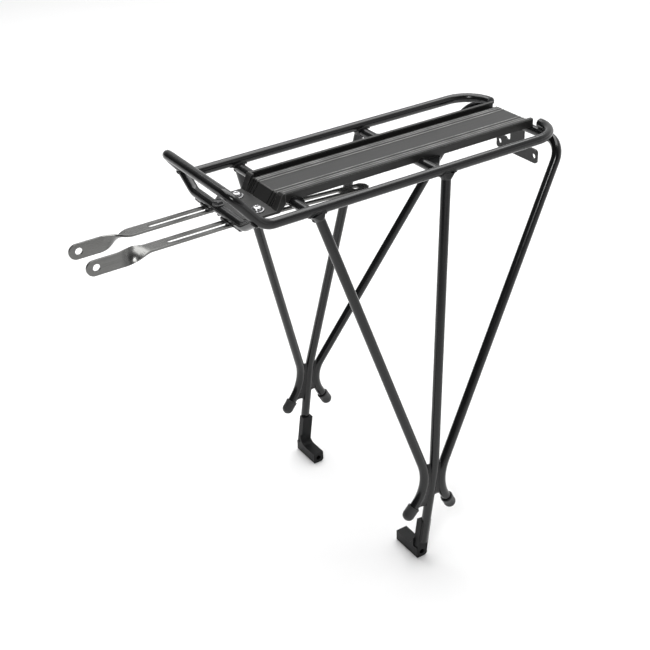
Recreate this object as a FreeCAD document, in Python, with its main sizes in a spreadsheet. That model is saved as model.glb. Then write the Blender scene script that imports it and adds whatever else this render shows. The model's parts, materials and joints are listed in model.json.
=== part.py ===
import FreeCAD, Part
import math
import os

V = FreeCAD.Vector
doc = FreeCAD.newDocument("rear_rack")

# ---------------------------------------------------------------- driving sizes (mm, degrees)
# Origin: middle of the axis through the two foot bolt bores. +X front, +Y left, +Z up.
sheet = doc.addObject("Spreadsheet::Sheet", "sizes")
SIZES = [
    ("tube_d", 9.0), ("tube_bore", 6.6), ("rail_y", 66.0), ("rail_z", 371.0),
    ("rail_rear_x", -194.0), ("rail_rear_radius", 29.0), ("rail_end_y", 36.5),
    ("rail_front_x", 122.5), ("arm_radius", 19.0), ("hoop_x", 146.5), ("hoop_y", 58.5),
    ("hoop_z", 400.0), ("hoop_radius", 13.0),
    ("front_top_x", 73.4), ("middle_top_x", -61.0), ("cross_z", 364.9),
    ("splay_y", 111.9), ("tip_y", 109.9), ("node_z", 80.0),
    ("knee_x", -14.8), ("knee_y", 110.0), ("knee_z", 96.0), ("knee_radius", 60.0),
    ("floor_x", -2.0), ("foot_y", 109.4), ("floor_z", 12.0),
    ("front_node_x", -8.4), ("front_tip_x", 15.0), ("front_tip_z", 52.5), ("front_radius", 45.0),
    ("rear_node_x", -16.2), ("rear_tip_x", -33.5), ("rear_tip_z", 46.5), ("rear_radius", 40.0),
    ("weld_r", 2.6), ("weld_length", 22.0),
    ("arch_x", -193.2), ("arch_z", 362.0), ("arch_radius", 21.0), ("arch_join_y", 38.0),
    ("strut_start", 2.4), ("flare_r", 7.6), ("flare_drop", 0.8), ("flare_width", 9.8), ("flare_length", 7.0),
    ("cap_r", 6.0), ("cap_length", 9.0),
    ("foot_width", 11.8), ("foot_inner_y", 103.3), ("foot_outer_y", 110.5), ("foot_height", 36.0),
    ("toe_front_r", 1.2), ("toe_back_r", 3.5), ("toe_end_y", 76.5), ("toe_size", 12.0), ("foot_bore_r", 2.75),
    ("foot_web", 9.0),
    ("deck_rear_x", -190.5), ("deck_front_x", 81.0), ("deck_top", 371.0), ("plate_half", 22.6),
    ("plate_thick", 1.6), ("deck_half", 30.3), ("wall_thick", 2.0), ("wall_top", 374.6),
    ("deck_bottom", 366.5), ("floor_thick", 1.4), ("lip", 1.8), ("rib_height", 0.5), ("rib_width", 1.0),
    ("nose_reach", 10.6), ("nose_bottom", 358.45), ("cheek_reach", 3.4),
    ("mount_front_x", 122.0), ("mount_half", 30.0), ("mount_top", 360.95), ("mount_thick", 2.5),
    ("bar_x", 128.6), ("bar_z", 363.8), ("bar_bend_y", 43.5), ("bar_end_y", 62.5), ("bar_end_z", 375.5),
    ("stay_y", 17.8), ("stay_width", 13.8), ("stay_thick", 2.0), ("stay_z", 357.15),
    ("stay_rear_x", -10.0), ("stay_bend_x", 86.0), ("stay_drop", 4.8), ("slot_rear_x", 18.5),
    ("slot_front_x", 187.0), ("slot_width", 5.6), ("rear_eye_x", 2.5), ("rear_eye_r", 2.8),
    ("twist_start_x", 203.0), ("twist_end_x", 231.0), ("stay_end_x", 258.3), ("stay_hole_x", 249.5),
    ("stay_end_z", 354.4), ("stay_hole_r", 3.2), ("bolt_x", 102.0), ("bolt_r", 2.5),
    ("head_r", 4.9), ("washer_r", 6.2), ("washer_thick", 1.0), ("nut_r", 4.6), ("nut_height", 4.0),
    ("gap", 0.3),
    ("guide_inner_y", 9.5), ("guide_outer_y", 26.3), ("guide_length", 9.0), ("ear_end_y", 38.6),
    ("ear_length", 6.0), ("guide_roof", 3.1), ("stud_r", 2.2), ("stud_foot_r", 4.2), ("stud_foot", 1.2),
    ("screw_y", 36.0), ("screw_r", 1.25), ("screw_head_r", 2.0), ("screw_head", 1.6), ("bar_bolt_r", 2.0),
    ("plate_x", -197.5), ("bracket_thick", 2.0), ("bracket_hole_y", 25.0), ("bracket_hole_z", 333.0),
    ("bracket_end_y", 29.6), ("bracket_half_height", 7.0), ("bracket_corner_r", 3.0),
    ("bracket_hole_r", 2.6), ("stem_half", 9.5), ("notch_r", 3.6),
]
for row, (alias, value) in enumerate(SIZES, start=1):
    sheet.set("A%d" % row, alias)
    sheet.set("B%d" % row, str(value))
    sheet.setAlias("B%d" % row, alias)
doc.recompute()


def size(alias):
    return float(sheet.get(alias))


nodes = {}


# ---------------------------------------------------------------- building helpers
def primitive(kind, name, **bound):
    """A Part primitive whose sizes follow the sheet."""
    item = doc.addObject("Part::" + kind, name)
    for prop, formula in bound.items():
        if isinstance(formula, str):
            item.setExpression(prop, formula)
        else:
            setattr(item, prop, formula)
    return item


def put(item, x, y, z, rotation=None):
    item.Placement = FreeCAD.Placement(V(x, y, z), rotation or FreeCAD.Rotation())
    return item


def aim(direction):
    """Rotation that turns +Z to a direction."""
    return FreeCAD.Rotation(V(0, 0, 1), direction)


def fuse(name, items):
    item = doc.addObject("Part::MultiFuse", name)
    item.Shapes = items
    return item


def cut(name, base, tools):
    for number, tool in enumerate(tools):
        last = number == len(tools) - 1
        item = doc.addObject("Part::Cut", name if last else "%s_cut%d" % (name, number))
        item.Base, item.Tool = base, tool
        base = item
    return base


def bent_wire(points, radii):
    """Straight runs joined by tangent arcs, one radius for each inner corner."""
    edges, start = [], points[0]
    for corner, nxt, radius in zip(points[1:-1], points[2:], radii):
        into, out = (corner - start).normalize(), (nxt - corner).normalize()
        turn = into.getAngle(out)
        setback = radius * math.tan(turn / 2)
        first, last = corner - into * setback, corner + out * setback
        inward = (out - into).normalize()
        middle = corner + inward * radius * (1 / math.cos(turn / 2) - 1)
        edges += [Part.makeLine(start, first), Part.Arc(first, middle, last).toShape()]
        start = last
    return Part.Wire(edges + [Part.makeLine(start, points[-1])])


def sweep(name, path, alias):
    """A round bar of the named diameter along a path."""
    first = path.Shape.Edges[0]
    circle = primitive("Circle", name + "_ring", Radius="sizes.%s / 2" % alias)
    circle.Placement = FreeCAD.Placement(
        first.valueAt(first.FirstParameter), aim(first.tangentAt(first.FirstParameter)))
    item = doc.addObject("Part::Sweep", name)
    item.Sections = [circle]
    item.Spine = (path, ["Edge%d" % (n + 1) for n in range(len(path.Shape.Edges))])
    item.Solid = True
    return item


def tube(name, points, radii=()):
    """Outer bar and bore of one bent tube."""
    path = doc.addObject("Part::Feature", name + "_path")
    path.Shape = bent_wire(points, radii) if radii else Part.Wire([Part.makeLine(*points)])
    return sweep(name + "_outer", path, "tube_d"), sweep(name + "_bore", path, "tube_bore")


def add(name, item):
    nodes[name] = item
    return item


def prism(name, outline, plane, start, depth):
    """A flat outline pushed out along one axis: plane "xz" along Y, "xy" along Z, "yz" along X."""
    lift = {"xz": lambda a, b: V(a, start, b), "xy": lambda a, b: V(a, b, start),
            "yz": lambda a, b: V(start, a, b)}[plane]
    along = {"xz": V(0, depth, 0), "xy": V(0, 0, depth), "yz": V(depth, 0, 0)}[plane]
    loop = doc.addObject("Part::Polygon", name + "_outline")
    loop.Nodes = [lift(a, b) for a, b in outline]
    loop.Close = True
    item = doc.addObject("Part::Extrusion", name)
    item.Base, item.Dir, item.Solid = loop, along, True
    return item


def rounded(name, base, radius_of):
    """The base solid with each edge rounded by the radius that radius_of gives for it (0 leaves it sharp)."""
    doc.recompute()
    item = doc.addObject("Part::Fillet", name)
    item.Base = base
    radii = [radius_of(edge) for edge in base.Shape.Edges]
    item.Edges = [(n, r, r) for n, r in enumerate(radii, start=1) if r]
    return item


SIDES = (("left", 1), ("right", -1))
AXIS_Y = FreeCAD.Rotation(V(1, 0, 0), -90)
AXIS_X = FreeCAD.Rotation(V(0, 1, 0), 90)

# ---------------------------------------------------------------- rails and hoop
rail_z, rail_y = size("rail_z"), size("rail_y")
hoop_corner = V(size("hoop_x"), size("hoop_y"), size("hoop_z"))
rail_corner = V(size("rail_front_x"), rail_y, rail_z)
seam = rail_corner * 0.35 + hoop_corner * 0.65


def mirror(point, side):
    return V(point.x, point.y * side, point.z)


outers = {}
for label, side in SIDES:
    points = [V(size("rail_rear_x"), size("rail_end_y"), rail_z), V(size("rail_rear_x"), rail_y, rail_z),
              rail_corner, seam]
    outer, bore = tube(label + "_rail", [mirror(p, side) for p in points],
                       [size("rail_rear_radius"), size("arm_radius")])
    outers[label + "_rail"] = outer
    add(label + "_rail", cut(label + "_rail", outer, [bore]))

outer, bore = tube("front_hoop", [seam, hoop_corner, mirror(hoop_corner, -1), mirror(seam, -1)],
                   [size("hoop_radius")] * 2)
add("front_hoop", cut("front_hoop", outer, [bore]))

# ---------------------------------------------------------------- struts, three to a side
tip_y, node_z = size("tip_y"), size("node_z")
knee = V(size("knee_x"), size("knee_y"), size("knee_z"))
floor = V(size("floor_x"), size("foot_y"), size("floor_z"))
splay_y, arch_x, arch_z = size("splay_y"), size("arch_x"), size("arch_z")


def flare(name, top, below):
    """Widened upper end of a strut: a cone trimmed to little more than the tube across the rail."""
    up = (top - below).normalize()
    start = top - up * (size("flare_drop") + size("flare_length"))
    cone = primitive("Cone", name + "_cone", Radius1="sizes.tube_d / 2 - 0.4", Radius2="sizes.flare_r",
                     Height="sizes.flare_length")
    put(cone, start.x, start.y, start.z, aim(up))
    slab = primitive("Box", name + "_slab", Length="sizes.flare_r * 2", Width="sizes.flare_width",
                     Height="sizes.flare_length")
    corner = start + aim(up).multVec(V(-size("flare_r"), -size("flare_width") / 2, 0))
    put(slab, corner.x, corner.y, corner.z, aim(up))
    item = doc.addObject("Part::Common", name)
    item.Base, item.Tool = cone, slab
    return item


def start_below(top, below):
    """Start of a strut: inside the rail, a little short of its axis."""
    return top + (below - top).normalize() * size("strut_start")


for label, side in SIDES:
    rail, front_node = outers[label + "_rail"], V(size("front_node_x"), splay_y, node_z)
    front = [start_below(V(size("front_top_x"), rail_y, rail_z), front_node), front_node,
             V(size("front_tip_x"), tip_y, size("front_tip_z"))]
    middle = [start_below(V(size("middle_top_x"), rail_y, rail_z), knee), knee, floor]
    shoulder_y = rail_y + (splay_y - rail_y) * (rail_z - arch_z) / (rail_z - node_z)
    rear = [V(arch_x, size("arch_join_y"), arch_z), V(arch_x, shoulder_y, arch_z),
            V(size("rear_node_x"), splay_y, node_z), V(size("rear_tip_x"), tip_y, size("rear_tip_z"))]
    for part, points, radii in (("front", front, [size("front_radius")]),
                                ("middle", middle, [size("knee_radius")]),
                                ("rear", rear, [size("arch_radius"), size("rear_radius")])):
        name = "%s_%s_strut" % (label, part)
        outer, bore = tube(name, [mirror(p, side) for p in points], radii)
        if part != "rear":
            top, below = mirror(points[0], side), mirror(points[1], side)
            outer = fuse(name + "_body", [outer, flare(name + "_flare", top, below)])
            item = cut(name, outer, [rail, bore])
        else:
            item = cut(name, outer, [bore])
        outers[name] = outer
        add(name, item)

# ---------------------------------------------------------------- weld beads where the struts meet
weld_z = node_z - size("weld_length") / 2
for label, side in SIDES:
    beads = []
    for part, shift in (("front", 1.0), ("rear", -1.0)):
        bead = put(primitive("Cylinder", "%s_%s_bead" % (label, part), Radius="sizes.weld_r",
                             Height="sizes.weld_length"),
                   size(part + "_node_x") + shift, side * (splay_y - 1.2), weld_z)
        beads.append(cut("%s_%s_weld" % (label, part), bead,
                         [outers["%s_%s_strut" % (label, near)] for near in ("front", "middle", "rear")]))
    welds = doc.addObject("Part::Compound", label + "_node_welds")
    welds.Links = beads
    add(label + "_node_welds", welds)

# ---------------------------------------------------------------- cross tubes under the deck
for part in ("front", "middle"):
    name, x = part + "_cross_tube", size(part + "_top_x")
    outer, bore = tube(name, [V(x, -rail_y, size("cross_z")), V(x, rail_y, size("cross_z"))])
    outers[name] = outer
    tools = [outers["%s_%s_strut" % (label, part)] for label, _ in SIDES]
    tools += [outers[label + "_rail"] for label, _ in SIDES]
    add(name, cut(name, outer, [bore] + tools))
join = size("arch_join_y")
outer, bore = tube("rear_cross_tube", [V(arch_x, -join, arch_z), V(arch_x, join, arch_z)])
outers["rear_cross_tube"] = outer
add("rear_cross_tube", cut("rear_cross_tube", outer, [bore]))

# ---------------------------------------------------------------- lower bar of the hoop
bar_x, bar_z = size("bar_x"), size("bar_z")
half_bar = [V(bar_x, size("bar_bend_y"), bar_z), V(bar_x, size("bar_end_y"), size("bar_end_z"))]
outer, bore = tube("front_lower_bar", [mirror(half_bar[1], -1), mirror(half_bar[0], -1)] + half_bar, [14.0, 14.0])
outers["front_lower_bar"] = outer
bolt_hole = put(primitive("Cylinder", "bar_bolt_hole", Radius="sizes.bar_bolt_r", Height=12.0), bar_x, 0, bar_z - 6)
side_holes = [put(primitive("Cylinder", label + "_screw_hole", Radius="sizes.screw_r", Height=5.0),
                  bar_x, side * size("screw_y"), bar_z - 6) for label, side in SIDES]
add("front_lower_bar", cut("front_lower_bar", outer, [bore, outers["left_rail"], outers["right_rail"], bolt_hole]
                           + side_holes))

# ---------------------------------------------------------------- strut end caps
for label, side in SIDES:
    for part in ("front", "rear"):
        top = V(size(part + "_node_x"), splay_y, node_z)
        tip = V(size(part + "_tip_x"), tip_y, size(part + "_tip_z"))
        down = (tip - top).normalize()
        mouth = mirror(tip - down * size("cap_length"), side)
        down, name = mirror(down, side), "%s_%s_cap" % (label, part)
        end = mirror(tip, side)
        sleeve = put(primitive("Cylinder", name + "_sleeve", Radius="sizes.cap_r", Height="sizes.cap_length"),
                     mouth.x, mouth.y, mouth.z, aim(down))
        dome = put(primitive("Sphere", name + "_dome", Radius="sizes.cap_r"), end.x, end.y, end.z, aim(down))
        socket = put(primitive("Cylinder", name + "_socket", Radius="sizes.tube_d / 2",
                               Height="sizes.cap_length"), mouth.x, mouth.y, mouth.z, aim(down))
        add(name, cut(name, fuse(name + "_body", [sleeve, dome]), [socket]))

# ---------------------------------------------------------------- feet with inward toes
lean = FreeCAD.Rotation(V(0, 1, 0), -math.degrees(math.atan((floor.x - knee.x) / (knee.z - floor.z))))
inner_y, outer_y = size("foot_inner_y"), size("foot_outer_y")
toe_half, web, foot_half = size("toe_size") / 2, size("foot_web"), size("foot_width") / 2


def toe_radius(edge):
    """The two lower edges of a toe are rounded, the rear one more."""
    middle = edge.CenterOfMass
    if abs(edge.tangentAt(edge.FirstParameter).y) < 0.9 or middle.z > 0:
        return 0
    return size("toe_front_r") if middle.x > 0 else size("toe_back_r")


for label, side in SIDES:
    name, start_y = label + "_foot", min(side * inner_y, side * outer_y)
    block = primitive("Box", name + "_block", Length="sizes.foot_width",
                      Width="sizes.foot_outer_y - sizes.foot_inner_y", Height="sizes.foot_height")
    corner = lean.multVec(V(-foot_half, 0, 0))
    put(block, corner.x, start_y, corner.z, lean)
    bar = put(primitive("Box", name + "_toe_bar", Length="sizes.toe_size", Height="sizes.toe_size",
                        Width="sizes.foot_outer_y - sizes.toe_end_y"),
              -toe_half, min(side * size("toe_end_y"), side * outer_y), -toe_half)
    toe = rounded(name + "_toe", bar, toe_radius)
    gusset = prism(name + "_web", [(-toe_half, toe_half - 1), (toe_half, toe_half - 1),
                                   (toe_half, toe_half + web), (-toe_half, toe_half + web)],
                   "xz", side * (inner_y - web), side * (web + 1))
    scoop = put(primitive("Cylinder", name + "_scoop", Radius="sizes.foot_web", Height="sizes.toe_size * 2"),
                -2 * toe_half, side * (inner_y - web), toe_half + web, AXIS_X)
    web_part = cut(name + "_web_cut", gusset, [scoop])
    socket = primitive("Cylinder", name + "_socket", Radius="sizes.tube_d / 2", Height="sizes.foot_height")
    put(socket, floor.x, floor.y * side, floor.z, aim(mirror(knee - floor, side)))
    bore = put(primitive("Cylinder", name + "_bore", Radius="sizes.foot_bore_r", Height=60.0),
               0, min(side * 70, side * 130), 0, AXIS_Y)
    body = fuse(name + "_body", [block, toe, web_part])
    add(name, cut(name, body, [socket, bore]))

# ---------------------------------------------------------------- deck extrusion
half, edge, top, low = size("deck_half"), size("plate_half"), size("deck_top"), size("deck_bottom")
wall, wall_top, lip = size("wall_thick"), size("wall_top"), size("lip")
under, floor_top = top - size("plate_thick"), low + size("floor_thick")
right_half = [(0, top)]
for y in (-12.0, -16.6, -19.4):
    w, h = size("rib_width") / 2, size("rib_height")
    right_half += [(y + w, top), (y + w * 0.6, top + h), (y - w * 0.6, top + h), (y - w, top)]
right_half += [(-edge, top), (-edge, floor_top), (-half + wall, floor_top), (-half + wall, wall_top - 1.6),
               (-half + wall + lip, wall_top - 1.2), (-half + wall + lip, wall_top),
               (-half + 0.8, wall_top), (-half, wall_top - 0.8), (-half, low), (-edge + wall, low),
               (-edge + wall, under), (0, under)]
outline = right_half[1:-1] + [(-y, z) for y, z in reversed(right_half[1:-1])]
deck = prism("deck_blank", outline, "yz", size("deck_rear_x"), size("deck_front_x") - size("deck_rear_x"))
add("deck_extrusion", cut("deck_extrusion", deck, [outers["front_cross_tube"], outers["middle_cross_tube"]]))

# ---------------------------------------------------------------- sloping nose of the deck
front_x, reach, bottom = size("deck_front_x"), size("nose_reach"), size("nose_bottom")
slope = [(front_x, top), (front_x + 1.2, top), (front_x + reach, bottom), (front_x + reach - 4.2, bottom),
         (front_x, top - 6.5)]
face = prism("deck_nose_face", slope, "xz", -half, 2 * half)
cheek_outline = [(front_x, wall_top), (front_x + 1.6, wall_top), (front_x + size("cheek_reach"), wall_top - 1.6),
                 (front_x + reach, bottom), (front_x + reach - 4.2, bottom), (front_x, top - 6.5)]
cheeks = [prism("deck_nose_cheek_" + label, cheek_outline, "xz", side * edge, side * (half - edge))
          for label, side in SIDES]
fall = math.degrees(math.atan2(top - bottom, reach - 1.2))
grooves = []
for number, y in enumerate((12.0, 16.6, 19.4)):
    for label, side in SIDES:
        groove = primitive("Box", "nose_groove_%s_%d" % (label, number), Length=22.0, Width="sizes.rib_width",
                           Height=2.0)
        put(groove, front_x - 2.4, side * y - size("rib_width") / 2, top + 3.4,
            FreeCAD.Rotation(V(0, 1, 0), fall))
        grooves.append(groove)
add("deck_nose", cut("deck_nose", fuse("deck_nose_body", [face] + cheeks), grooves))

# ---------------------------------------------------------------- plate that carries the stays
mount_top, mount_low = size("mount_top"), size("mount_top") - size("mount_thick")
mount_x, mount_half = size("mount_front_x"), size("mount_half")
mount_start = front_x + reach - 3
mount_line = [(mount_start, -mount_half), (mount_x - 8, -mount_half), (mount_x, -mount_half + 8),
              (mount_x, mount_half - 8), (mount_x - 8, mount_half), (mount_start, mount_half)]
mount = prism("stay_mount_blank", mount_line, "xy", mount_low, size("mount_thick"))
holes = [put(primitive("Cylinder", label + "_mount_hole", Radius="sizes.bolt_r", Height=10.0),
             size("bolt_x"), side * size("stay_y"), mount_low - 3) for label, side in SIDES]
add("stay_mount_plate", cut("stay_mount_plate", mount, holes + [nodes["deck_nose"]]))

# ---------------------------------------------------------------- stays: slotted strap, twist, drilled end
width, thick, stay_z = size("stay_width"), size("stay_thick"), size("stay_z")
rear_x, bend_x = size("stay_rear_x"), size("stay_bend_x")
start_x, end_x = size("twist_start_x"), size("twist_end_x")
TWIST_STEPS = 20
for label, side in SIDES:
    name, mid_y = label + "_stay", side * size("stay_y")
    low_z = stay_z - size("stay_drop")
    profile = [(rear_x, low_z - thick / 2), (bend_x, stay_z - thick / 2), (start_x, stay_z - thick / 2),
               (start_x, stay_z + thick / 2), (bend_x, stay_z + thick / 2), (rear_x, low_z + thick / 2)]
    side_view = prism(name + "_profile", profile, "xz", mid_y - width / 2, width)
    half_width = width / 2
    plan = [(start_x, -half_width), (rear_x + 4, -half_width), (rear_x, -half_width + 4),
            (rear_x, half_width - 4), (rear_x + 4, half_width), (start_x, half_width)]
    top_view = prism(name + "_plan", [(x, mid_y + y) for x, y in plan], "xy", low_z - 5, 20)
    strap = doc.addObject("Part::Common", name + "_strap")
    strap.Base, strap.Tool = side_view, top_view
    sections = []
    for step in range(TWIST_STEPS + 1):
        share = step / TWIST_STEPS
        ease = share * share * (3 - 2 * share)
        x = start_x + (end_x - start_x) * share
        z = stay_z + (size("stay_end_z") - stay_z) * ease
        turn = FreeCAD.Rotation(V(1, 0, 0), -side * 90 * ease)
        loop = doc.addObject("Part::Polygon", "%s_section%d" % (name, step))
        loop.Nodes = [V(x, mid_y, z) + turn.multVec(V(0, a * width / 2, b * thick / 2))
                      for a, b in ((-1, -1), (1, -1), (1, 1), (-1, 1))]
        loop.Close = True
        sections.append(loop)
    twist = doc.addObject("Part::Loft", name + "_twist")
    twist.Sections, twist.Solid, twist.Ruled = sections, True, True
    stay_end, high, deep = size("stay_end_x"), size("stay_end_z") + width / 2, size("stay_end_z") - width / 2
    nose_x = stay_end - half_width
    tongue = put(primitive("Box", name + "_tongue", Width="sizes.stay_thick", Height="sizes.stay_width",
                           Length="sizes.stay_end_x - sizes.stay_width / 2 - sizes.twist_end_x"),
                 end_x, mid_y - thick / 2, deep)
    round_end = put(primitive("Cylinder", name + "_round_end", Radius="sizes.stay_width / 2",
                              Height="sizes.stay_thick"), nose_x, mid_y - thick / 2, (high + deep) / 2, AXIS_Y)
    rear_eye = put(primitive("Cylinder", name + "_rear_eye", Radius="sizes.rear_eye_r", Height=20.0),
                   size("rear_eye_x"), mid_y, low_z - 8)
    eye = put(primitive("Cylinder", name + "_eye", Radius="sizes.stay_hole_r", Height=20.0),
              size("stay_hole_x"), mid_y - 10, size("stay_end_z"), AXIS_Y)
    slot_r = size("slot_width") / 2
    slot_box = put(primitive("Box", name + "_slot", Width="sizes.slot_width", Height=16.0,
                             Length="sizes.slot_front_x - sizes.slot_rear_x - sizes.slot_width"),
                   size("slot_rear_x") + slot_r, mid_y - slot_r, stay_z - 8)
    slot_ends = [put(primitive("Cylinder", "%s_slot_end%d" % (name, n), Radius="sizes.slot_width / 2", Height=16.0),
                     x, mid_y, stay_z - 8)
                 for n, x in enumerate((size("slot_rear_x") + slot_r, size("slot_front_x") - slot_r))]
    body = fuse(name + "_body", [strap, twist, tongue, round_end])
    add(name, cut(name, body, [eye, rear_eye, slot_box] + slot_ends))

# ---------------------------------------------------------------- clamp bolts, washers and nuts
gap, bolt_x = size("gap"), size("bolt_x")
stay_low = stay_z - thick / 2
top_washer = mount_top + size("washer_thick")
bolts, washers, nuts = [], [], []
for label, side in SIDES:
    y = side * size("stay_y")
    low_washer = stay_low - gap - size("washer_thick")
    shank_end = low_washer - size("nut_height") - 1.5
    shank = put(primitive("Cylinder", label + "_bolt_shank", Radius="sizes.bolt_r", Height=top_washer - shank_end),
                bolt_x, y, shank_end)
    ball = put(primitive("Sphere", label + "_bolt_ball", Radius=6.2), bolt_x, y, top_washer - 3.0)
    trim = put(primitive("Cylinder", label + "_bolt_trim", Radius="sizes.head_r", Height=6.0), bolt_x, y, top_washer)
    dome = doc.addObject("Part::Common", label + "_bolt_dome")
    dome.Base, dome.Tool = ball, trim
    key = put(primitive("Cylinder", label + "_bolt_key", Radius=1.5, Height=3.0), bolt_x, y, top_washer + 1.4)
    bolts.append(cut(label + "_clamp_bolt", fuse(label + "_bolt_body", [shank, dome]), [key]))
    for place, z in (("top", mount_top), ("low", low_washer)):
        disc = put(primitive("Cylinder", "%s_%s_disc" % (label, place), Radius="sizes.washer_r",
                             Height="sizes.washer_thick"), bolt_x, y, z)
        hole = put(primitive("Cylinder", "%s_%s_disc_hole" % (label, place), Radius="sizes.bolt_r", Height=4.0),
                   bolt_x, y, z - 1)
        washers.append(cut("%s_%s_washer" % (label, place), disc, [hole]))
    hexagon = primitive("Prism", label + "_nut_blank", Polygon=6, Circumradius="sizes.nut_r",
                        Height="sizes.nut_height")
    put(hexagon, bolt_x, y, low_washer - size("nut_height"))
    thread = put(primitive("Cylinder", label + "_nut_hole", Radius="sizes.bolt_r", Height=8.0),
                 bolt_x, y, low_washer - size("nut_height") - 2)
    nuts.append(cut(label + "_clamp_nut", hexagon, [thread]))


def group(name, items):
    item = doc.addObject("Part::Compound", name)
    item.Links = items
    return add(name, item)


group("stay_clamp_bolts", bolts)
group("stay_clamp_washers", washers)
group("stay_clamp_nuts", nuts)

# ---------------------------------------------------------------- stay guides under the lower bar
screws = []
inner, outer_y, ear_end = size("guide_inner_y"), size("guide_outer_y"), size("ear_end_y")
saddle_half, ear_half = size("guide_length") / 2, size("ear_length") / 2
guide_low, foot_top = stay_z + thick / 2 + gap, stay_low - gap
for label, side in SIDES:
    name, y = label + "_stay_guide", side * size("stay_y")
    plan = [(-saddle_half, inner), (saddle_half, inner), (saddle_half, outer_y), (ear_half, outer_y),
            (ear_half, ear_end), (-ear_half, ear_end), (-ear_half, outer_y), (-saddle_half, outer_y)]
    blank = prism(name + "_blank", [(bar_x + x, side * across) for x, across in plan], "xy",
                  guide_low, bar_z - size("guide_roof") - guide_low)
    saddle = cut(name + "_saddle", blank, [outers["front_lower_bar"]])
    stud = put(primitive("Cylinder", name + "_stud", Radius="sizes.stud_r", Height=guide_low + 0.5 - foot_top),
               bar_x, y, foot_top)
    foot = put(primitive("Cylinder", name + "_stud_foot", Radius="sizes.stud_foot_r", Height="sizes.stud_foot"),
               bar_x, y, foot_top - size("stud_foot"))
    y = side * size("screw_y")
    hole = put(primitive("Cylinder", name + "_hole", Radius="sizes.screw_r", Height=10.0), bar_x, y, guide_low - 5)
    add(name, cut(name, fuse(name + "_body", [saddle, stud, foot]), [hole]))
    shank = put(primitive("Cylinder", name + "_shank", Radius="sizes.screw_r", Height=4.0), bar_x, y, guide_low - 0.5)
    head = put(primitive("Cylinder", name + "_head", Radius="sizes.screw_head_r", Height="sizes.screw_head"),
               bar_x, y, guide_low - size("screw_head"))
    screws.append(fuse(name + "_screw", [shank, head]))
group("guide_bolts", screws)

centre_hex = put(primitive("Prism", "bar_bolt_hex", Polygon=6, Circumradius=4.6, Height=3.2), bar_x, 0, bar_z + 4.4)
centre_disc = put(primitive("Cylinder", "bar_bolt_disc", Radius=5.2, Height=2.0), bar_x, 0, bar_z + 3.0)
centre_head = cut("bar_bolt_head", fuse("bar_bolt_blank", [centre_hex, centre_disc]), [outers["front_lower_bar"]])
centre_shank = put(primitive("Cylinder", "bar_bolt_shank", Radius="sizes.bar_bolt_r", Height=12.0),
                   bar_x, 0, bar_z - 6.5)
add("bar_centre_bolt", fuse("bar_centre_bolt", [centre_head, centre_shank]))

# ---------------------------------------------------------------- rear light and reflector bracket
hole_y, hole_z, end_y = size("bracket_hole_y"), size("bracket_hole_z"), size("bracket_end_y")
stem, stem_top, corner_r = size("stem_half"), arch_z + 3.0, size("bracket_corner_r")
arm_top, arm_low = hole_z + size("bracket_half_height"), hole_z - size("bracket_half_height")
back_x = size("plate_x") - size("bracket_thick")
arm = put(primitive("Box", "bracket_arm", Length="sizes.bracket_thick", Width="sizes.bracket_end_y * 2",
                    Height="sizes.bracket_half_height * 2"), back_x, -end_y, arm_low)
plate = rounded("bracket_rounded", arm, lambda edge: corner_r if abs(edge.tangentAt(0).x) > 0.9 else 0)
post = prism("bracket_post", [(-stem, hole_z), (stem, hole_z), (stem, stem_top), (-stem, stem_top)],
             "yz", back_x, size("bracket_thick"))
eyes, notches = [], []
for label, side in SIDES:
    eyes.append(put(primitive("Cylinder", label + "_bracket_eye", Radius="sizes.bracket_hole_r", Height=12.0),
                    back_x - 4, side * hole_y, hole_z, AXIS_X))
    notches.append(put(primitive("Cylinder", label + "_bracket_notch", Radius="sizes.notch_r", Height=12.0),
                       back_x - 4, side * (stem + size("notch_r")), arm_top + 1.5, AXIS_X))
add("reflector_bracket", cut("reflector_bracket", fuse("bracket_body", [plate, post]),
                             eyes + notches + [outers["rear_cross_tube"]]))

# ---------------------------------------------------------------- gussets behind the cross tubes
for label, side in SIDES:
    for part, back, tail in (("front", 9.0, 3.5), ("middle", 20.0, 6.0)):
        x, name = size(part + "_top_x"), "%s_%s_gusset" % (label, part)
        line = [(x, side * 24), (x - back, side * 24), (x - back, side * 31), (x - tail, side * 48), (x, side * 48)]
        blank = prism(name + "_blank", line, "xy", low - 3.0, 3.0)
        add(name, cut(name, blank, [outers[part + "_cross_tube"]]))

# ---------------------------------------------------------------- recompute, check, export
doc.recompute()
os.makedirs("parts", exist_ok=True)
for item in doc.Objects:
    if "Invalid" in item.State or "Error" in item.State:
        raise RuntimeError("%s failed: %s" % (item.Name, item.State))
for name, item in nodes.items():
    shape = item.Shape
    if shape.isNull() or not shape.isValid():
        raise RuntimeError("%s has no valid shape" % name)
    shape.exportStep("parts/%s.step" % name)
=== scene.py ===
import json
import math

import bmesh
import bpy
from mathutils import Matrix, Vector
from mathutils.bvhtree import BVHTree


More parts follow.
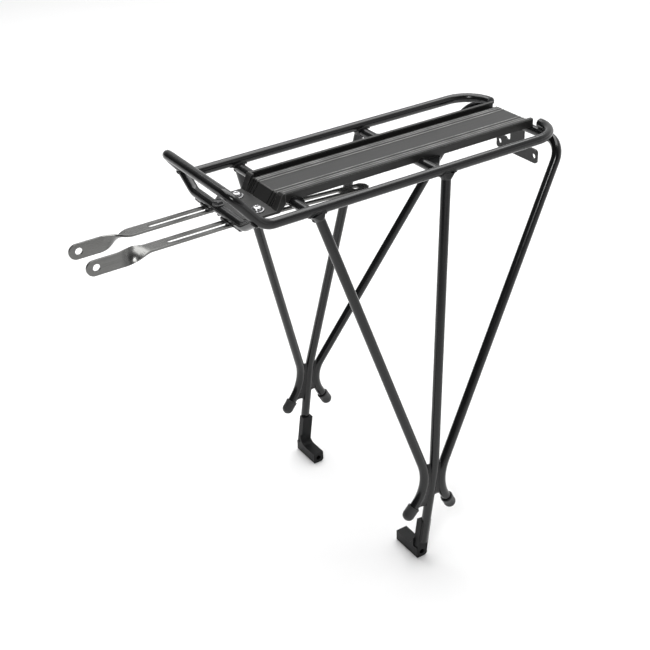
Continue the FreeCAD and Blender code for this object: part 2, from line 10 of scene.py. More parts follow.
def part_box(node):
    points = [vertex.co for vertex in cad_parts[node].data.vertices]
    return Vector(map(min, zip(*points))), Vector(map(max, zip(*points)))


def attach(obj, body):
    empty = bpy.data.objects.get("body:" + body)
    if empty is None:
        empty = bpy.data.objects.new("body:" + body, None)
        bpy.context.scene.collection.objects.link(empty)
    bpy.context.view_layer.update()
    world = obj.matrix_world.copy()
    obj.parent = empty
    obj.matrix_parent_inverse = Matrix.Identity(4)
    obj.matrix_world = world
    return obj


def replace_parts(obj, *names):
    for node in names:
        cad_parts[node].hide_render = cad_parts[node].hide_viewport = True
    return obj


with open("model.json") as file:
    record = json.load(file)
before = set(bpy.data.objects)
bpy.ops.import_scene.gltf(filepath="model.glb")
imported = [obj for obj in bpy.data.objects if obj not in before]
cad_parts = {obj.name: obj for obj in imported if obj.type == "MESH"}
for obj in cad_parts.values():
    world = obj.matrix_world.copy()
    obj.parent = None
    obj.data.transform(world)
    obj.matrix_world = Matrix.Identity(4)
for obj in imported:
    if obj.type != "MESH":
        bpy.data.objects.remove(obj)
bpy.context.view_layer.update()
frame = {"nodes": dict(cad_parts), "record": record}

MM = 0.001
nodes = frame["nodes"]
slot_of = {s["node"]: s["material_slot"] for s in frame["record"]["subparts"]}
X, Y, Z = Vector((1, 0, 0)), Vector((0, 1, 0)), Vector((0, 0, 1))
SIDES = (("left", 1), ("right", -1))
BEAD_RIPPLE, BEAD_PITCH, BEAD_SIDES = 0.16, 1.3 * MM, 10


# ---------------------------------------------------------------- shader helpers
def shader(name, color, roughness, metallic=0.0, specular=0.5):
    """A new material, its node tree, its Principled node and object-space coordinates."""
    mat = bpy.data.materials.new(name)
    mat.use_nodes = True
    tree = mat.node_tree
    bsdf = tree.nodes["Principled BSDF"]
    bsdf.inputs["Base Color"].default_value = (*color, 1.0)
    bsdf.inputs["Roughness"].default_value = roughness
    bsdf.inputs["Metallic"].default_value = metallic
    bsdf.inputs["Specular IOR Level"].default_value = specular
    return mat, tree, bsdf, tree.nodes.new("ShaderNodeTexCoord").outputs["Object"]


def noise(tree, coords, scale, detail=3.0, roughness=0.55, offset=0.0):
    """Noise with its own scale along each axis, in cycles per metre."""
    mapping = tree.nodes.new("ShaderNodeMapping")
    mapping.inputs["Scale"].default_value = scale if isinstance(scale, tuple) else (scale,) * 3
    mapping.inputs["Location"].default_value = (offset, offset * 1.7, offset * 0.6)
    tree.links.new(coords, mapping.inputs["Vector"])
    tex = tree.nodes.new("ShaderNodeTexNoise")
    tex.inputs["Scale"].default_value = 1.0
    tex.inputs["Detail"].default_value = detail
    tex.inputs["Roughness"].default_value = roughness
    tree.links.new(mapping.outputs["Vector"], tex.inputs["Vector"])
    return tex.outputs["Fac"]


def remap(tree, value, low, high, to_low, to_high):
    node = tree.nodes.new("ShaderNodeMapRange")
    node.inputs["From Min"].default_value = low
    node.inputs["From Max"].default_value = high
    node.inputs["To Min"].default_value = to_low
    node.inputs["To Max"].default_value = to_high
    tree.links.new(value, node.inputs["Value"])
    return node.outputs["Result"]


def math_node(tree, operation, a, b):
    node = tree.nodes.new("ShaderNodeMath")
    node.operation = operation
    for socket, value in zip(node.inputs, (a, b)):
        if isinstance(value, float):
            socket.default_value = value
        else:
            tree.links.new(value, socket)
    return node.outputs["Value"]


def mix_color(tree, factor, a, b):
    """Mix of two colours; each is a tuple or another colour output."""
    node = tree.nodes.new("ShaderNodeMix")
    node.data_type = "RGBA"
    tree.links.new(factor, node.inputs["Factor"])
    for socket, value in ((node.inputs[6], a), (node.inputs[7], b)):
        if isinstance(value, tuple):
            socket.default_value = (*value, 1.0)
        else:
            tree.links.new(value, socket)
    return node.outputs[2]


def bump(tree, bsdf, height, strength, distance):
    node = tree.nodes.new("ShaderNodeBump")
    node.inputs["Strength"].default_value = strength
    node.inputs["Distance"].default_value = distance
    tree.links.new(height, node.inputs["Height"])
    tree.links.new(node.outputs["Normal"], bsdf.inputs["Normal"])


def edge_mask(tree, radius, low=0.02, high=0.16):
    """1 on sharp outer edges, 0 on open faces."""
    rounded = tree.nodes.new("ShaderNodeBevel")
    rounded.samples = 4
    rounded.inputs["Radius"].default_value = radius
    geometry = tree.nodes.new("ShaderNodeNewGeometry")
    dot = tree.nodes.new("ShaderNodeVectorMath")
    dot.operation = "DOT_PRODUCT"
    tree.links.new(rounded.outputs["Normal"], dot.inputs[0])
    tree.links.new(geometry.outputs["Normal"], dot.inputs[1])
    return remap(tree, math_node(tree, "SUBTRACT", 1.0, dot.outputs["Value"]), low, high, 0.0, 1.0)


def scaled(color, factor):
    return tuple(min(1.0, c * factor) for c in color)


def paint(name, color, roughness, peel=0.12, grain=900.0, edge_wear_and_highlight=0.0, specular=0.5):
    """Sprayed coat: slow tone drift, fine orange peel, sparse dust, and lightened edges that are partly wear
    and partly a painted highlight.
    """
    mat, tree, bsdf, coords = shader(name, color, roughness, specular=specular)
    drift = noise(tree, coords, 28.0, 2.0)
    fine = noise(tree, coords, grain, 2.0, 0.5, 3.1)
    dust = remap(tree, noise(tree, coords, 2600.0, 1.0, 0.5, 7.7), 0.68, 0.78, 0.0, 1.0)
    tone = mix_color(tree, remap(tree, drift, 0.3, 0.7, 0.0, 1.0), scaled(color, 0.82),
                     scaled(color, 1.25))
    tone = mix_color(tree, math_node(tree, "MULTIPLY", dust, 0.35), tone, scaled(color, 3.0))
    # Edges lightened in patches: partly wear, partly a painted highlight.
    if edge_wear_and_highlight:
        worn_and_lit_edges = math_node(tree, "MULTIPLY", edge_mask(tree, 0.0005), edge_wear_and_highlight)
        patches = math_node(tree, "MULTIPLY", worn_and_lit_edges, noise(tree, coords, 160.0, 3.0))
        tone = mix_color(tree, patches, tone, scaled(color, 5.0))
    tree.links.new(tone, bsdf.inputs["Base Color"])
    rough = remap(tree, math_node(tree, "ADD", drift, fine), 0.7, 1.3, roughness - 0.05,
                  roughness + 0.07)
    tree.links.new(rough, bsdf.inputs["Roughness"])
    bump(tree, bsdf, fine, peel, 0.00012)
    return mat


def rib_lines(tree, coords, tone, cloud, dark, light, ribs):
    """Tone with a painted highlight along the rib crests on the deck, and painted shade beside them and in
    the nose grooves.
    Ribs are distances from the middle plane."""
    parts = tree.nodes.new("ShaderNodeSeparateXYZ")
    tree.links.new(coords, parts.inputs["Vector"])
    across = math_node(tree, "ABSOLUTE", parts.outputs["Y"], 0.0)
    gaps = [math_node(tree, "ABSOLUTE", math_node(tree, "SUBTRACT", across, rib), 0.0)
            for rib in ribs]
    gap = gaps[0]
    for other in gaps[1:]:
        gap = math_node(tree, "MINIMUM", gap, other)
    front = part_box("deck_extrusion")[1].x
    on_deck = remap(tree, parts.outputs["X"], front, front + 0.1 * MM, 1.0, 0.0)
    # Painted highlight along the rib crests, on the deck only.
    crest_highlight_mask = math_node(tree, "MULTIPLY", on_deck, remap(tree, gap, 0.42 * MM, 0.55 * MM, 1.0, 0.0))
    # Painted shade beside the ribs and in the nose grooves.
    tone = mix_color(tree, remap(tree, gap, 0.8 * MM, 1.2 * MM, 0.75, 0.0), tone, scaled(dark, 0.3))
    crest_highlight = math_node(tree, "MULTIPLY", crest_highlight_mask, remap(tree, cloud, 0.3, 0.6, 1.0, 0.6))
    return mix_color(tree, crest_highlight, tone, scaled(light, 16.0))


def lined(name, dark, light, roughness, metallic, pitch, depth, edge_wear_and_highlight=0.0, specular=0.5, ribs=()):
    """Lengthwise drawn or brushed surface: streaks along X, lightened edges that are partly wear and partly
    a painted highlight, and painted highlight and shade lines at the ribs if ribs are given.
    """
    mat, tree, bsdf, coords = shader(name, light, roughness, metallic, specular)
    streak = noise(tree, coords, (9.0, pitch, pitch), 4.0, 0.7)
    hair = noise(tree, coords, (35.0, pitch * 3.1, pitch * 3.1), 2.0, 0.6, 4.3)
    cloud = noise(tree, coords, 45.0, 2.0, 0.5, 9.1)
    both = math_node(tree, "ADD", math_node(tree, "MULTIPLY", streak, 0.65),
                     math_node(tree, "MULTIPLY", hair, 0.35))
    tone = mix_color(tree, remap(tree, both, 0.34, 0.66, 0.0, 1.0), dark, light)
    tone = mix_color(tree, remap(tree, cloud, 0.35, 0.7, 0.0, 0.35), tone, scaled(dark, 0.85))
    # Edges lightened: partly wear, partly a painted highlight.
    if edge_wear_and_highlight:
        worn_and_lit_edges = math_node(tree, "MULTIPLY", edge_mask(tree, 0.0004, 0.01, 0.08), edge_wear_and_highlight)
        tone = mix_color(tree, worn_and_lit_edges, tone, scaled(light, 10.0))
    if ribs:
        tone = rib_lines(tree, coords, tone, cloud, dark, light, ribs)
    tree.links.new(tone, bsdf.inputs["Base Color"])
    tree.links.new(remap(tree, both, 0.3, 0.7, roughness + 0.09, roughness - 0.08), bsdf.inputs["Roughness"])
    bump(tree, bsdf, both, depth, 0.0001)
    return mat


def moulded(name, color, roughness, grain, depth, specular=0.4):
    """Moulded plastic or sand cast surface: fine grain, with its edges and high spots lightened, partly
    scuffs and partly a painted highlight.
    """
    mat, tree, bsdf, coords = shader(name, color, roughness, specular=specular)
    cells = tree.nodes.new("ShaderNodeTexVoronoi")
    cells.inputs["Scale"].default_value = grain
    tree.links.new(coords, cells.inputs["Vector"])
    fine = noise(tree, coords, grain * 0.8, 3.0, 0.6)
    drift = noise(tree, coords, 60.0, 3.0, 0.6, 2.2)
    height = math_node(tree, "ADD", math_node(tree, "MULTIPLY", cells.outputs["Distance"], 0.6), fine)
    tone = mix_color(tree, remap(tree, drift, 0.3, 0.7, 0.0, 1.0), scaled(color, 0.8), scaled(color, 1.3))
    # Edges lightened: partly scuffs, partly a painted highlight.
    scuff_and_highlight = math_node(tree, "MULTIPLY", edge_mask(tree, 0.0007), remap(tree, drift, 0.45, 0.65, 0.1, 0.7))
    tone = mix_color(tree, scuff_and_highlight, tone, scaled(color, 2.6))
    tree.links.new(tone, bsdf.inputs["Base Color"])
    tree.links.new(remap(tree, fine, 0.3, 0.7, roughness - 0.06, roughness + 0.08), bsdf.inputs["Roughness"])
    bump(tree, bsdf, height, depth, 0.00015)
    return mat


def plated(name, color, roughness):
    """Bright plated fastener: fine tumbling scratches and a slightly dull patina."""
    mat, tree, bsdf, coords = shader(name, color, roughness, 1.0)
    scratch = noise(tree, coords, (500.0, 3200.0, 900.0), 3.0, 0.7)
    patina = noise(tree, coords, 260.0, 3.0, 0.6, 5.0)
    tone = mix_color(tree, remap(tree, patina, 0.35, 0.7, 0.0, 0.6), color, scaled(color, 0.55))
    tree.links.new(tone, bsdf.inputs["Base Color"])
    tree.links.new(remap(tree, scratch, 0.35, 0.7, roughness, roughness + 0.16), bsdf.inputs["Roughness"])
    bump(tree, bsdf, scratch, 0.06, 0.00005)
    return mat


BLACK = (0.0066, 0.0068, 0.0071)
ANODISED = (0.021, 0.021, 0.0205)
DECK_RIBS = (12.0 * MM, 16.6 * MM, 19.4 * MM)
MATERIALS = {
    "tube_paint": paint("tube_paint", BLACK, 0.17, specular=0.45),
    "weld_paint": paint("weld_paint", BLACK, 0.34, 0.3, 500.0, specular=0.3),
    # The deck coat is given a painted highlight on its rib crests and edges, and painted shade beside the
    # ribs.
    "deck_coat": lined("deck_coat", scaled(ANODISED, 0.7), scaled(ANODISED, 1.1), 0.34, 0.0, 2600.0,
                       0.2, 0.8, 0.32, DECK_RIBS),
    "mount_coat": lined("mount_coat", scaled(ANODISED, 0.65), scaled(ANODISED, 1.0), 0.36, 0.0,
                        2600.0, 0.2, 0.8, 0.32),
    "guide_coat": paint("guide_coat", BLACK, 0.34, 0.15, 900.0, 0.6),
    "bracket_coat": paint("bracket_coat", BLACK, 0.42, 0.18, 1100.0, 0.5),
    "foot_cast": moulded("foot_cast", (0.006, 0.0063, 0.0066), 0.42, 1300.0, 0.25, 0.16),
    "cap_plastic": moulded("cap_plastic", (0.022, 0.0225, 0.023), 0.5, 1800.0, 0.18),
    "stay_steel": lined("stay_steel", (0.14, 0.14, 0.136), (0.20, 0.20, 0.194), 0.28, 1.0, 3000.0, 0.14),
    "bright_fasteners": plated("bright_fasteners", (0.6, 0.6, 0.61), 0.16),
    "dark_fasteners": paint("dark_fasteners", (0.02, 0.02, 0.021), 0.28, 0.1, 1200.0, 0.8),
}


# ---------------------------------------------------------------- CAD nodes that stay: materials, soft edges
BEVELS = {
    "deck_extrusion": 0.18, "deck_nose": 0.25, "stay_mount_plate": 0.3, "reflector_bracket": 0.25,
    "left_foot": 0.6, "right_foot": 0.6, "left_stay": 0.22, "right_stay": 0.22,
    "left_stay_guide": 0.25, "right_stay_guide": 0.25, "stay_clamp_washers": 0.15,
    "left_front_gusset": 0.3, "right_front_gusset": 0.3, "left_middle_gusset": 0.3,
    "right_middle_gusset": 0.3,
}
BEVEL_ANGLE = 40.0


def soften(obj, width_mm):
    """Joins split corners, rounds the sharp edges and keeps flat faces flat."""
    weld = obj.modifiers.new("Join", "WELD")
    weld.merge_threshold = 1e-6
    bevel = obj.modifiers.new("Edges", "BEVEL")
    bevel.width = width_mm * MM
    bevel.segments = 2
    bevel.limit_method = "ANGLE"
    bevel.angle_limit = math.radians(BEVEL_ANGLE)
    bevel.use_clamp_overlap = True
    bevel.miter_outer = "MITER_ARC"
    flat = obj.modifiers.new("Flat faces", "WEIGHTED_NORMAL")
    flat.keep_sharp = True
    flat.weight = 80


for node_name, obj in nodes.items():
    material = MATERIALS[slot_of[node_name]]
    for entry in obj.material_slots:
        entry.material = material
    if node_name in BEVELS:
        soften(obj, BEVELS[node_name])


# ---------------------------------------------------------------- mesh helpers
def piece(name, bm, slot, body="rack", sharp=38.0):
    """Mesh object from a bmesh, finished with a record slot's material and riding on a body."""
    bmesh.ops.recalc_face_normals(bm, faces=bm.faces)
    mesh = bpy.data.meshes.new(name)
    bm.to_mesh(mesh)
    bm.free()
    mesh.shade_smooth()
    mesh.set_sharp_from_angle(angle=math.radians(sharp))
    mesh.materials.append(MATERIALS[slot])
    obj = bpy.data.objects.new(name, mesh)
    bpy.context.scene.collection.objects.link(obj)
    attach(obj, body)
    return obj


def frame_at(origin, axis):
    """Placement with local Z along an axis."""
    axis = axis.normalized()
    side = axis.orthogonal().normalized() if abs(axis.z) < 0.999 else X.copy()
    up = axis.cross(side)
    return Matrix.Translation(origin) @ Matrix((side, up, axis)).transposed().to_4x4()


def turned(bm, rings, place, segments=48):
    """Closed turned solid. A ring is (radius, height, hexness) in mm; hexness 1 is a hexagon whose
    flats stand at that radius. A radius of 0 closes an end."""
    loops = []
    for radius, height, hexness in rings:
        if radius == 0:
            loops.append([bm.verts.new(place @ Vector((0, 0, height * MM)))])
            continue
        loop = []
        for k in range(segments):
            angle = 2 * math.pi * k / segments
            flat = math.cos(math.radians((math.degrees(angle) % 60) - 30))
            r = radius * ((1 - hexness) + hexness / flat) * MM
            corner = Vector((r * math.cos(angle), r * math.sin(angle), height * MM))
            loop.append(bm.verts.new(place @ corner))
        loops.append(loop)
    for a, b in zip(loops, loops[1:]):
        for k in range(segments):
            n = (k + 1) % segments
            if len(a) == 1:
                bm.faces.new((a[0], b[k], b[n]))
            elif len(b) == 1:
                bm.faces.new((a[k], b[0], a[n]))
            else:
                bm.faces.new((a[k], b[k], b[n], a[n]))


def thread(radius, top, bottom, pitch=0.8, depth=0.3):
    """Rings of a threaded shank, from top down to a chamfered end."""
    rings, z = [], top
    while z - pitch > bottom + 0.8:
        rings += [(radius, z, 0), (radius, z - 0.2 * pitch, 0), (radius - depth, z - 0.5 * pitch, 0),
                  (radius - depth, z - 0.65 * pitch, 0)]
        z -= pitch
    return rings + [(radius, z, 0), (radius, bottom + 0.6, 0), (radius - 0.6, bottom, 0), (0, bottom, 0)]


def skin(bm, loops, closed=False):
    """Faces from loop to loop. Both ends are covered, unless the last loop meets the first."""
    pairs = list(zip(loops, loops[1:])) + ([(loops[-1], loops[0])] if closed else [])
    for a, b in pairs:
        for j in range(len(a)):
            n = (j + 1) % len(a)
            bm.faces.new((a[j], b[j], b[n], a[n]))
    if not closed:
        bm.faces.new(loops[0])
        bm.faces.new(loops[-1])


def bead(name, path, radius_mm, closed=True):
    """Rippled weld bead along a path, tapered at open ends."""
    bm = bmesh.new()
    count, run, rings = len(path), 0.0, []
    for k, point in enumerate(path):
        before = path[k - 1] if (closed or k) else path[0]
        after = path[(k + 1) % count] if (closed or k < count - 1) else path[-1]
        tangent = (after - before).normalized()
        run += (point - path[k - 1]).length if k else 0.0
        side = tangent.cross(Z if abs(tangent.z) < 0.9 else X).normalized()
        up = side.cross(tangent)
        swell = 1 + BEAD_RIPPLE * math.sin(2 * math.pi * run / BEAD_PITCH)
        if not closed:
            share = k / (count - 1)
            swell *= min(1.0, 0.35 + 6 * min(share, 1 - share))
        r = radius_mm * MM * swell
        rings.append([bm.verts.new(point + side * (r * math.cos(a)) + up * (r * math.sin(a)))
                      for a in (2 * math.pi * j / BEAD_SIDES for j in range(BEAD_SIDES))])
    skin(bm, rings, closed)
    piece(name, bm, "weld_paint", sharp=80.0)


# ---------------------------------------------------------------- places, from the CAD boxes
rail_lo, rail_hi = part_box("left_rail")
TUBE_R = 4.5 * MM
rail_y = rail_hi.y - TUBE_R
rail_z = rail_lo.z + TUBE_R
cross = {part: (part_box(part + "_cross_tube")[0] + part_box(part + "_cross_tube")[1]) / 2
         for part in ("front", "middle", "rear")}


def dense(start, end, count=40):
    """Evenly spaced points on a straight line."""
    return [start.lerp(end, k / (count - 1)) for k in range(count)]


# ---------------------------------------------------------------- weld beads
def oval_on_rail(x, y, side, half_length, reach, lean):
    """Closed path on the underside of a rail, round the widened head of a strut."""
    points = []
    for k in range(120):
        a = 2 * math.pi * k / 120
        c, s = math.cos(a), math.sin(a)
        along = half_length * math.copysign(abs(c) ** 0.85, c)
        turn = math.radians(reach) * math.copysign(abs(s) ** 0.85, s) + math.radians(lean)
        points.append(Vector((x + along, y + side * TUBE_R * math.sin(turn),
                              rail_z - TUBE_R * math.cos(turn))))
    return points


def saddle(start, along, across, radius, other, axis, other_radius, low=0.0, high=360.0, count=110):
    """Curve where a tube (start, along, radius) runs into another tube (other, axis, other_radius)."""
    third = along.cross(across)
    points = []
    for k in range(count):
        a = math.radians(low + (high - low) * k / (count if high - low == 360.0 else count - 1))
        p = start + across * (radius * math.cos(a)) + third * (radius * math.sin(a))
        gap, run = (p - other).cross(axis), along.cross(axis)
        qa, qb, qc = run.dot(run), 2 * gap.dot(run), gap.dot(gap) - other_radius ** 2
        inside = max(0.0, qb * qb - 4 * qa * qc)
        points.append(p + along * ((-qb - math.sqrt(inside)) / (2 * qa)))
    return points


HEAD_LEAN = {"front": 9.3, "middle": 9.1}        # degrees, outward tilt of the strut heads
HEAD_LENGTH, HEAD_REACH = 8.0 * MM, 74.0         # half length along the rail, half angle round it
CROSS_FROM, CROSS_TO = 24.0, 156.0               # degrees of a cross tube that its weld covers
ARCH_START, ARCH_END, ARCH_APART = 37.2 * MM, 46.0 * MM, 2.9 * MM
for label, side in SIDES:
    for part, lean in HEAD_LEAN.items():
        bead("%s_%s_strut_weld" % (label, part),
             oval_on_rail(cross[part].x - 0.4 * MM, side * rail_y, side, HEAD_LENGTH, HEAD_REACH, lean), 1.0)
        bead("%s_%s_cross_weld" % (label, part),
             saddle(Vector((cross[part].x, 0, cross[part].z)), Y * side, X, TUBE_R,
                    Vector((0, side * rail_y, rail_z)), X, TUBE_R, side * CROSS_FROM,
                    side * CROSS_TO, 60), 0.9, closed=False)
    arch_x, rail_back = cross["rear"].x, rail_lo.x + TUBE_R
    for place, shift in (("front", ARCH_APART), ("back", -ARCH_APART)):
        x = (arch_x + rail_back) / 2 + shift
        start = Vector((x, side * ARCH_START, rail_lo.z))
        end = Vector((x + 1.2 * MM, side * ARCH_END, rail_lo.z))
        bead("%s_arch_%s_weld" % (label, place), dense(start, end), 1.2, closed=False)
    # points on the arm of the hoop and on the raised end of the lower bar
    arm_low = Vector((122.5, side * 66.0, 371.0)) * MM
    arm_high = Vector((146.5, side * 58.5, 400.0)) * MM
    bar_low = Vector((128.6, side * 43.5, 363.8)) * MM
    bar_high = Vector((128.6, side * 62.5, 375.5)) * MM
    bead("%s_lower_bar_weld" % label,
         saddle(bar_low, (bar_high - bar_low).normalized(), X, TUBE_R, arm_low,
                (arm_high - arm_low).normalized(), TUBE_R), 1.0)
deck_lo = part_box("deck_extrusion")[0]
for name, x, z in (("deck_rear_weld", deck_lo.x + 0.5 * MM, deck_lo.z - 0.5 * MM),
                   ("deck_rear_back_weld", deck_lo.x - 0.4 * MM, deck_lo.z + 0.2 * MM)):
    bead(name, dense(Vector((x, -29 * MM, z)), Vector((x, 29 * MM, z)), 150), 1.1, closed=False)

# ---------------------------------------------------------------- webs at the nodes, welds on the feet
def centre_at(surface, x, y, z):
    """Centre of a strut at a height, from rays on both sides of it along X and Y."""
    for axis in (X, Y, X):
        start = Vector((x, y, z))
        near = surface.ray_cast(start - axis * 0.02, axis, 0.04)[0]
        far = surface.ray_cast(start + axis * 0.02, -axis, 0.04)[0]
        middle = (near + far) / 2
        x, y = (middle.x, y) if axis == X else (x, middle.y)
    return Vector((x, y, z))


WEB_STEPS, WEB_DIP, WEB_HALF = 34, 5.0 * MM, 3.9 * MM
WEB_SPANS = {    # low end, high end, and the way along X to the outer strut
    ("left", "front"): (51.0 * MM, 105.0 * MM, 10.0 * MM),
    ("left", "rear"): (59.0 * MM, 103.0 * MM, -10.0 * MM),
    ("right", "front"): (54.0 * MM, 105.0 * MM, 10.0 * MM),
    ("right", "rear"): (60.0 * MM, 104.0 * MM, -10.0 * MM),
}
WEB_RUNS = (0.15, 0.28, 0.4, 0.5, 0.6, 0.72, 0.85)    # places from the middle strut to the outer one
NODE_X, NODE_Y, OUTER_Y = -13.5 * MM, 110.0 * MM, 111.5 * MM
FOOT_X, FOOT_Y = -4.0 * MM, 109.5 * MM
FOOT_WELD_LOW, FOOT_WELD_STEP, FOOT_WELD_COUNT = 13.6, 0.34, 66
depsgraph = bpy.context.evaluated_depsgraph_get()


def strut_surface(name):
    return BVHTree.FromObject(nodes[name], depsgraph)


def web(bm, label, side, part, inner):
    """Flat weld between the middle strut and an outer one, with hollowed ends."""
    low, high, way = WEB_SPANS[label, part]
    outer = strut_surface("%s_%s_strut" % (label, part))
    loops = []
    for k in range(WEB_STEPS + 1):
        share = k / WEB_STEPS
        half = WEB_HALF * max(0.05, math.sin(math.pi * share)) ** 0.4
        half *= 1 + 0.04 * math.sin(2.4 * k)
        front, back = [], []
        for run in WEB_RUNS:
            dip = WEB_DIP * 4 * run * (1 - run) * ((1 - share) ** 3 - share ** 3)
            z = low + (high - low) * share + dip
            middle = centre_at(inner, NODE_X, side * NODE_Y, z)
            point = middle.lerp(centre_at(outer, NODE_X + way, side * OUTER_Y, z), run)
            reach = Y * (half * (0.74 + 1.2 * (run - 0.5) ** 2))
            front.append(point + reach)
            back.append(point - reach)
        loops.append([bm.verts.new(p) for p in front + back[::-1]])
    skin(bm, loops)


def foot_weld(bm, side, along, inner):
    """Rippled fillet in the groove between the middle strut and the outer face of the foot."""
    loops = []
    for k in range(FOOT_WELD_COUNT):
        z = (FOOT_WELD_LOW + FOOT_WELD_STEP * k) * MM
        taper = min(1.0, 0.3 + 0.12 * min(k, FOOT_WELD_COUNT - 1 - k))
        ripple = (0.9 + 0.1 * math.sin(1.6 * k)) * taper
        centre = centre_at(inner, FOOT_X, side * FOOT_Y, z)
        profile = ((2.9, 2.9), (3.6 + 0.3 * ripple, 2.2 + 0.2 * ripple),
                   (4.3 + 0.4 * ripple, 1.6 + 0.2 * ripple), (4.5 + 1.1 * ripple, 1.25),
                   (4.4, 0.5), (3.2, 1.2))
        loops.append([bm.verts.new(centre + Vector((along * dx, side * dy, 0)) * MM)
                      for dx, dy in profile])
    skin(bm, loops)


for label, side in SIDES:
    inner = strut_surface(label + "_middle_strut")
    bm = bmesh.new()
    for part in ("front", "rear"):
        web(bm, label, side, part, inner)
    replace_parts(piece(label + "_node_webs", bm, "weld_paint", sharp=70.0), label + "_node_welds")
    bm = bmesh.new()
    for along in (1, -1):
        foot_weld(bm, side, along, inner)
    piece(label + "_foot_welds", bm, "weld_paint", sharp=70.0)

# ---------------------------------------------------------------- rail end plugs
for label, side in SIDES:
    bm = bmesh.new()
    end = Vector((rail_lo.x + TUBE_R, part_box(label + "_rail")[0 if side > 0 else 1].y, rail_z))
    turned(bm, [(0, -6, 0), (3.1, -6, 0), (3.25, -5.4, 0), (3.25, 0, 0), (4.35, 0.02, 0), (4.42, 0.35, 0),
                (4.2, 1.0, 0), (3.5, 1.6, 0), (2.4, 2.05, 0), (1.2, 2.3, 0), (0, 2.35, 0)],
           frame_at(end, Y * -side))
    piece(label + "_rail_plug", bm, "cap_plastic")

# ---------------------------------------------------------------- strut end caps
CAP_LENGTH = 9.0
CAP_TIPS = {    # a point up the strut, and its lower end
    "front": ((-8.4, 111.9, 80.0), (15.0, 109.9, 52.5)),
    "rear": ((-16.2, 111.9, 80.0), (-33.5, 109.9, 46.5)),
}
for label, side in SIDES:
    for part, (node, tip) in CAP_TIPS.items():
        node, tip = (Vector((p[0], p[1] * side, p[2])) * MM for p in (node, tip))
        bm = bmesh.new()
        rings = [(0, 3.0, 0), (4.55, 3.0, 0), (4.55, 0.3, 0)]
        rings += [(4.55, 0.3, 0), (4.8, 0.02, 0), (5.75, 0.02, 0), (6.0, 0.25, 0), (6.0, 1.6, 0),
                  (5.82, 1.85, 0), (5.82, CAP_LENGTH - 0.4, 0), (5.88, CAP_LENGTH, 0)]
        rings += [(5.88 * math.cos(math.radians(a)), CAP_LENGTH + 5.95 * math.sin(math.radians(a)), 0)
                  for a in range(8, 80, 8)]
        rings += [(0.9, CAP_LENGTH + 5.86, 0), (0.75, CAP_LENGTH + 5.98, 0),
                  (0, CAP_LENGTH + 5.98, 0)]
        down = (tip - node).normalized()
        turned(bm, rings, frame_at(tip - down * (CAP_LENGTH * MM), down))
        name = "%s_%s_cap" % (label, part)
        cap = piece(name + "_moulding", bm, "cap_plastic")
        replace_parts(cap, name)

# ---------------------------------------------------------------- clamp bolts and nuts
bolt_lo, bolt_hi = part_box("stay_clamp_bolts")
head_r = (bolt_hi.x - bolt_lo.x) / 2
bolt_x, bolt_y = (bolt_lo.x + bolt_hi.x) / 2, bolt_hi.y - head_r
head_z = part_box("stay_clamp_washers")[1].z
shank_end = (bolt_lo.z - head_z) / MM
bm = bmesh.new()
for label, side in SIDES:
    rings = [(0, 1.0, 1), (1.45, 1.0, 1), (1.5, 2.7, 1), (1.95, 2.98, 0), (2.6, 2.9, 0),
             (3.4, 2.5, 0), (4.1, 1.85, 0), (4.6, 1.0, 0), (4.82, 0.45, 0), (4.82, 0.12, 0),
             (4.7, 0.0, 0), (2.5, 0.0, 0), (2.5, -4.0, 0)]
    turned(bm, rings + thread(2.5, -4.2, shank_end), frame_at(Vector((bolt_x, side * bolt_y, head_z)), Z))
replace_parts(piece("clamp_bolts_turned", bm, "bright_fasteners"), "stay_clamp_bolts")
nut_lo, nut_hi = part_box("stay_clamp_nuts")
height = (nut_hi.z - nut_lo.z) / MM
bm = bmesh.new()
for label, side in SIDES:
    rings = [(2.5, height, 0), (3.3, height, 0), (3.85, height - 0.25, 0.6),
             (3.95, height - 0.5, 1), (3.95, 1.4, 1), (3.85, 1.1, 0.7), (3.6, 0.95, 0),
             (3.6, 0.35, 0), (3.3, 0.0, 0), (2.62, 0.0, 0), (2.5, 0.15, 0)]
    turned(bm, rings, frame_at(Vector((bolt_x, side * bolt_y, nut_lo.z)), Z))
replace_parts(piece("clamp_nuts_turned", bm, "bright_fasteners"), "stay_clamp_nuts")

# ---------------------------------------------------------------- screws and bolt in the lower bar
screw_lo, screw_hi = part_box("guide_bolts")
bar_lo, bar_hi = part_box("front_lower_bar")
bar_x = (bar_lo.x + bar_hi.x) / 2
bar_z = bar_lo.z + TUBE_R
SCREW_HEAD_R = 2.0 * MM
screw_y = screw_hi.y - SCREW_HEAD_R
top = (screw_hi.z - screw_lo.z) / MM
bm = bmesh.new()
for label, side in SIDES:
    turned(bm, [(0, 1.0, 1), (0.95, 1.0, 1), (1.0, 0.12, 1), (1.25, 0.0, 0), (1.7, 0.0, 0), (1.92, 0.12, 0),
                (2.0, 0.35, 0), (2.0, 1.5, 0), (1.9, 1.6, 0), (1.25, 1.6, 0), (1.25, top - 0.4, 0),
                (0.9, top, 0), (0, top, 0)], frame_at(Vector((bar_x, side * screw_y, screw_lo.z)), Z), 36)
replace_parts(piece("guide_screws_turned", bm, "dark_fasteners"), "guide_bolts")
centre_lo, centre_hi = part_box("bar_centre_bolt")
top, low = (centre_hi.z - bar_z) / MM, (centre_lo.z - bar_z) / MM
bm = bmesh.new()
rings = [(0, top - 0.5, 0), (2.4, top - 0.5, 0), (2.9, top, 0), (3.5, top, 0.1), (3.9, top - 0.45, 0.9),
         (3.95, top - 0.7, 1), (3.95, top - 2.4, 1), (4.3, top - 2.6, 0.2), (5.1, top - 2.9, 0),
         (5.15, top - 3.2, 0), (5.1, 3.6, 0), (2.0, 3.5, 0)]
turned(bm, rings + thread(2.0, 3.1, low), frame_at(Vector((bar_x, 0, bar_z)), Z))
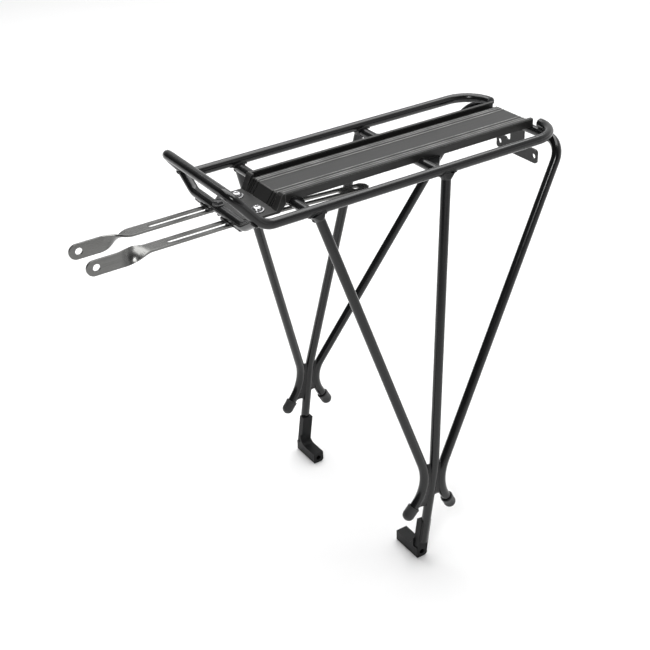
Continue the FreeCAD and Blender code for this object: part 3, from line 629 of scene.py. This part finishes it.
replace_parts(piece("centre_bolt_turned", bm, "dark_fasteners"), "bar_centre_bolt")


# ---------------------------------------------------------------- floor, light and camera
def floor_material():
    mat, tree, bsdf, coords = shader("floor_paper", (0.93, 0.93, 0.93), 0.9)
    tone = mix_color(tree, noise(tree, coords, 3.0, 2.0), (0.925, 0.925, 0.925), (0.935, 0.935, 0.935))
    tree.links.new(tone, bsdf.inputs["Base Color"])
    return mat


FLOOR_HALF = 9.0
floor_z = min(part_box("left_foot")[0].z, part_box("right_foot")[0].z)
bm = bmesh.new()
corners = [bm.verts.new((sx * FLOOR_HALF, sy * FLOOR_HALF, floor_z))
           for sx, sy in ((-1, -1), (1, -1), (1, 1), (-1, 1))]
bm.faces.new(corners)
floor_mesh = bpy.data.meshes.new("floor")
bm.to_mesh(floor_mesh)
bm.free()
floor_mesh.materials.append(floor_material())
floor = bpy.data.objects.new("floor", floor_mesh)
bpy.context.scene.collection.objects.link(floor)


def softbox(name, place, target, size, power):
    light = bpy.data.lights.new(name, "AREA")
    light.shape = "RECTANGLE"
    light.size, light.size_y = size
    light.energy = power
    obj = bpy.data.objects.new(name, light)
    obj.location = place
    obj.rotation_mode = "QUATERNION"
    obj.rotation_quaternion = (Vector(target) - Vector(place)).to_track_quat("-Z", "Y")
    bpy.context.scene.collection.objects.link(obj)


softbox("overhead", (-0.40, -0.65, 2.35), (0, 0, 0.1), (2.6, 2.3), 74.0)
softbox("spark", (1.23, 1.14, 1.82), (0, 0, 0.4), (0.5, 0.5), 13.0)

world = bpy.data.worlds.new("studio")
bpy.context.scene.world = world
world.use_nodes = True
tree = world.node_tree
direction = tree.nodes.new("ShaderNodeTexCoord").outputs["Generated"]


def facing(vector):
    """How far a world direction points along a vector, -1 to 1."""
    dot = tree.nodes.new("ShaderNodeVectorMath")
    dot.operation = "DOT_PRODUCT"
    dot.inputs[1].default_value = vector
    tree.links.new(direction, dot.inputs[0])
    return dot.outputs["Value"]


rear_wall = remap(tree, facing((-0.93, -0.33, 0.15)), -0.1, 0.8, 0.06, 0.9)
side_wall = remap(tree, facing((-0.5, 0.86, 0.0)), 0.0, 0.6, 0.0, 0.85)
low_band = remap(tree, facing((0.0, 0.0, 1.0)), 0.12, 0.34, 1.0, 0.0)
brightness = math_node(tree, "ADD", rear_wall, math_node(tree, "MULTIPLY", side_wall, low_band))
tree.nodes["Background"].inputs["Color"].default_value = (1.0, 1.0, 1.0, 1.0)
tree.links.new(brightness, tree.nodes["Background"].inputs["Strength"])

camera_data = bpy.data.cameras.new("camera")
camera_data.lens, camera_data.sensor_width = 67.84, 36.0
camera_data.clip_start, camera_data.clip_end = 0.01, 50.0
camera = bpy.data.objects.new("camera", camera_data)
CAMERA_PLACE = Vector((0.5450, 0.8449, 0.8008))
CAMERA_AIM = Vector((-0.4477, -0.7346, -0.5098))
CAMERA_ROLL = -2.882
aim = CAMERA_AIM.normalized()
right = aim.cross(Z).normalized()
up = right.cross(aim)
roll = math.radians(CAMERA_ROLL)
right, up = right * math.cos(roll) + up * math.sin(roll), up * math.cos(roll) - right * math.sin(roll)
camera.matrix_world = Matrix.Translation(CAMERA_PLACE) @ Matrix((right, up, -aim)).transposed().to_4x4()
bpy.context.scene.collection.objects.link(camera)
bpy.context.scene.camera = camera
bpy.context.scene.view_settings.view_transform = "Standard"
